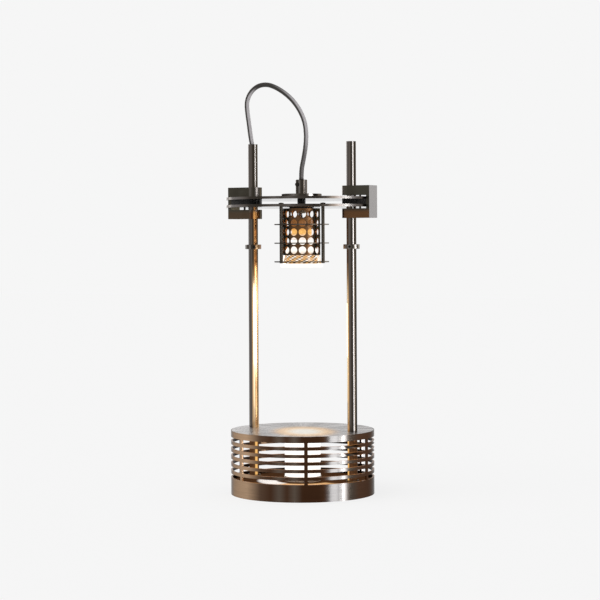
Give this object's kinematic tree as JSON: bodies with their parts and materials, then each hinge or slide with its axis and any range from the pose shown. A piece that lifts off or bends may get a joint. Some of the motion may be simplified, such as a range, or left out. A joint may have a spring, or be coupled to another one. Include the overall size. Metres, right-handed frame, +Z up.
{
  "type": "candle warmer lamp",
  "caption": "Free-standing candle warmer lamp: slotted round base with an inner light, posts, and a height-adjustable double-disc head with a caged reflector lamp.",
  "frame": {"origin": "on the table, under the middle of the base", "axes": "+Z up along the posts, the two posts stand on the X axis, -Y is the front and the cable inlet is at +Y"},
  "size_m": [0.1882, 0.1796, 0.4895],
  "materials": {
    "drum_steel": "brushed stainless steel, satin",
    "plate_steel": "fine satin stainless steel",
    "post_steel": "polished stainless steel tube",
    "head_steel": "ground stainless steel",
    "cage_steel": "perforated stainless steel",
    "inner_steel": "plain zinc-plated steel",
    "black_screw": "blackened steel screws",
    "black_nylon": "black nylon",
    "cable_grey": "smooth grey cable sheath",
    "foot_rubber": "matt black rubber",
    "brass": "plain brass",
    "ceramic": "unglazed ceramic",
    "terminal_plastic": "translucent white plastic",
    "reflector_glass": "faceted coated lamp glass",
    "clear_glass": "clear lamp glass",
    "frosted_glass": "frosted white glass"
  },
  "bodies": {
    "base": {"base_drum": "drum_steel", "top_plate": "plate_steel", "floor_plate": "inner_steel", "bottom_cover": "inner_steel", "cover_screws": "inner_steel", "cover_standoffs": "brass", "rubber_feet": "foot_rubber", "inlet_bushing": "black_nylon", "terminal_block": "terminal_plastic", "base_leads": "cable_grey", "base_lamp_holder": "ceramic", "base_bulb": "clear_glass", "base_diffuser": "frosted_glass", "post_left": "post_steel", "post_right": "post_steel", "post_nuts": "inner_steel", "post_cable": "cable_grey", "cable_loop": "cable_grey"},
    "collar_l": {"collar_left": "head_steel", "collar_screw_left": "black_screw"},
    "collar_r": {"collar_right": "head_steel", "collar_screw_right": "black_screw"},
    "head": {"clamp_block_left": "head_steel", "clamp_block_right": "head_steel", "spacer_pad_left": "black_nylon", "spacer_pad_right": "black_nylon", "clamp_screws": "black_screw", "block_grub_screws": "black_screw", "upper_disc": "head_steel", "lower_disc": "head_steel", "disc_screws": "head_steel", "centre_spacer": "black_nylon", "threaded_nipple": "inner_steel", "grip_nut": "head_steel", "cord_grip": "head_steel", "grip_screw": "black_screw", "head_cable": "cable_grey", "cage_washer": "black_nylon", "cage_tube": "cage_steel", "cage_rods": "cage_steel", "rod_nuts": "cage_steel", "fin_upper": "cage_steel", "fin_middle": "cage_steel", "fin_lower": "cage_steel", "holder_bracket": "inner_steel", "bracket_screws": "inner_steel", "nipple_nut": "inner_steel", "lamp_holder": "ceramic", "holder_leads": "cable_grey"},
    "lamp": {"lamp_reflector": "reflector_glass", "lamp_lens": "clear_glass", "lamp_base": "ceramic", "lamp_pins": "brass"}
  },
  "joints": [
    {"name": "head_slide", "type": "slide", "parent": "base", "child": "head", "axis": [0, 0, 1], "range_m": [-0.0305, 0.05], "deforming": ["cable_loop"]},
    {"name": "collar_left_slide", "type": "slide", "parent": "base", "child": "collar_l", "axis": [0, 0, 1], "range_m": [-0.213, 0]},
    {"name": "collar_right_slide", "type": "slide", "parent": "base", "child": "collar_r", "axis": [0, 0, 1], "range_m": [-0.213, 0]},
    {"name": "lamp_twist", "type": "hinge", "parent": "head", "child": "lamp", "pos_m": [0, 0, 0.29], "axis": [0, 0, 1], "range_deg": [0, 18]}
  ]
}
